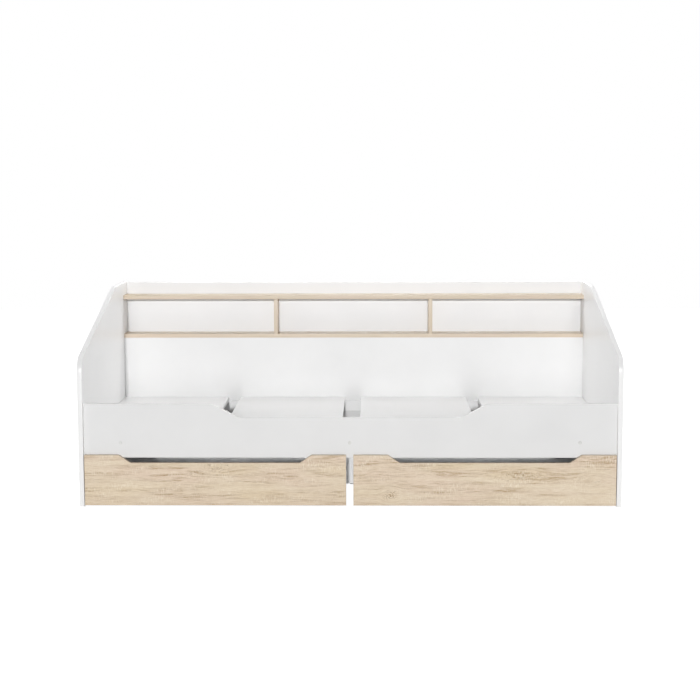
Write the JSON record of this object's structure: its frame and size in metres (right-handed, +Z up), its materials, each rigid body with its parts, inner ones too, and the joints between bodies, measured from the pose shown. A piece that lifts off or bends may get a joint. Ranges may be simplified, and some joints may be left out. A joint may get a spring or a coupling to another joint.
{
  "type": "storage daybed",
  "caption": "Daybed of white board with sloped side panels, an oak-look shelf unit along the back, a boarded mattress base and drawers on castors under it.",
  "frame": {"origin": "on the floor, in the middle of the footprint", "axes": "+X along the bed to the right of someone who faces it, -Y out of the front, +Z up"},
  "size_m": [1.95, 1.047, 0.739],
  "materials": {
    "white_melamine": "white melamine on particle board, semi-gloss",
    "oak_decor": "light oak decor on particle board, matt with a pressed grain",
    "white_plastic": "moulded, satin",
    "black_plastic": "moulded, satin",
    "grey_tread": "moulded, matt",
    "zinc_plate": "zinc plated"
  },
  "bodies": {
    "bed_frame": {"side_panel_left": "white_melamine", "side_panel_right": "white_melamine", "front_rail": "white_melamine", "front_ledger": "white_melamine", "rear_ledger": "white_melamine", "mid_beam": "white_melamine", "centre_leg": "white_melamine", "back_panel_lower": "white_melamine", "back_panel_upper": "white_melamine", "lower_shelf": "oak_decor", "top_shelf": "oak_decor", "shelf_divider_left": "oak_decor", "shelf_divider_right": "oak_decor", "base_board_1": "white_melamine", "base_board_2": "white_melamine", "base_board_3": "white_melamine", "base_board_4": "white_melamine", "rail_cap_screw_1": "white_plastic", "rail_cap_screw_2": "white_plastic", "rail_cap_screw_3": "white_plastic", "floor_glide_1": "black_plastic", "floor_glide_2": "black_plastic", "floor_glide_3": "black_plastic", "floor_glide_4": "black_plastic", "floor_glide_5": "black_plastic"},
    "left_drawer": {"left_drawer_front": "oak_decor", "left_drawer_left_side": "white_melamine", "left_drawer_right_side": "white_melamine", "left_drawer_back": "white_melamine", "left_drawer_bottom": "white_melamine", "left_castor_housing_1": "black_plastic", "left_castor_housing_2": "black_plastic", "left_castor_housing_3": "black_plastic", "left_castor_housing_4": "black_plastic", "left_castor_axle_1": "zinc_plate", "left_castor_axle_2": "zinc_plate", "left_castor_axle_3": "zinc_plate", "left_castor_axle_4": "zinc_plate"},
    "left_wheel_1": {"left_castor_wheel_1": "grey_tread"},
    "left_wheel_2": {"left_castor_wheel_2": "grey_tread"},
    "left_wheel_3": {"left_castor_wheel_3": "grey_tread"},
    "left_wheel_4": {"left_castor_wheel_4": "grey_tread"},
    "right_drawer": {"right_drawer_front": "oak_decor", "right_drawer_left_side": "white_melamine", "right_drawer_right_side": "white_melamine", "right_drawer_back": "white_melamine", "right_drawer_bottom": "white_melamine", "right_castor_housing_1": "black_plastic", "right_castor_housing_2": "black_plastic", "right_castor_housing_3": "black_plastic", "right_castor_housing_4": "black_plastic", "right_castor_axle_1": "zinc_plate", "right_castor_axle_2": "zinc_plate", "right_castor_axle_3": "zinc_plate", "right_castor_axle_4": "zinc_plate"},
    "right_wheel_1": {"right_castor_wheel_1": "grey_tread"},
    "right_wheel_2": {"right_castor_wheel_2": "grey_tread"},
    "right_wheel_3": {"right_castor_wheel_3": "grey_tread"},
    "right_wheel_4": {"right_castor_wheel_4": "grey_tread"}
  },
  "joints": [
    {"name": "left_drawer_slide", "type": "slide", "parent": "bed_frame", "child": "left_drawer", "axis": [0, -1, 0], "range_m": [0, 0.6]},
    {"name": "left_wheel_1_spin", "type": "hinge", "parent": "left_drawer", "child": "left_wheel_1", "pos_m": [-0.855, -0.4275, 0.015], "axis": [1, 0, 0], "continuous": true},
    {"name": "left_wheel_2_spin", "type": "hinge", "parent": "left_drawer", "child": "left_wheel_2", "pos_m": [-0.113, -0.4275, 0.015], "axis": [1, 0, 0], "continuous": true},
    {"name": "left_wheel_3_spin", "type": "hinge", "parent": "left_drawer", "child": "left_wheel_3", "pos_m": [-0.855, 0.0975, 0.015], "axis": [1, 0, 0], "continuous": true},
    {"name": "left_wheel_4_spin", "type": "hinge", "parent": "left_drawer", "child": "left_wheel_4", "pos_m": [-0.113, 0.0975, 0.015], "axis": [1, 0, 0], "continuous": true},
    {"name": "right_drawer_slide", "type": "slide", "parent": "bed_frame", "child": "right_drawer", "axis": [0, -1, 0], "range_m": [0, 0.6]},
    {"name": "right_wheel_1_spin", "type": "hinge", "parent": "right_drawer", "child": "right_wheel_1", "pos_m": [0.113, -0.4275, 0.015], "axis": [1, 0, 0], "continuous": true},
    {"name": "right_wheel_2_spin", "type": "hinge", "parent": "right_drawer", "child": "right_wheel_2", "pos_m": [0.855, -0.4275, 0.015], "axis": [1, 0, 0], "continuous": true},
    {"name": "right_wheel_3_spin", "type": "hinge", "parent": "right_drawer", "child": "right_wheel_3", "pos_m": [0.113, 0.0975, 0.015], "axis": [1, 0, 0], "continuous": true},
    {"name": "right_wheel_4_spin", "type": "hinge", "parent": "right_drawer", "child": "right_wheel_4", "pos_m": [0.855, 0.0975, 0.015], "axis": [1, 0, 0], "continuous": true}
  ],
  "couplings": [
    {"joint": "left_wheel_1_spin", "follows": "left_drawer_slide", "rad_per_m": 66.667},
    {"joint": "left_wheel_2_spin", "follows": "left_drawer_slide", "rad_per_m": 66.667},
    {"joint": "left_wheel_3_spin", "follows": "left_drawer_slide", "rad_per_m": 66.667},
    {"joint": "left_wheel_4_spin", "follows": "left_drawer_slide", "rad_per_m": 66.667},
    {"joint": "right_wheel_1_spin", "follows": "right_drawer_slide", "rad_per_m": 66.667},
    {"joint": "right_wheel_2_spin", "follows": "right_drawer_slide", "rad_per_m": 66.667},
    {"joint": "right_wheel_3_spin", "follows": "right_drawer_slide", "rad_per_m": 66.667},
    {"joint": "right_wheel_4_spin", "follows": "right_drawer_slide", "rad_per_m": 66.667}
  ]
}
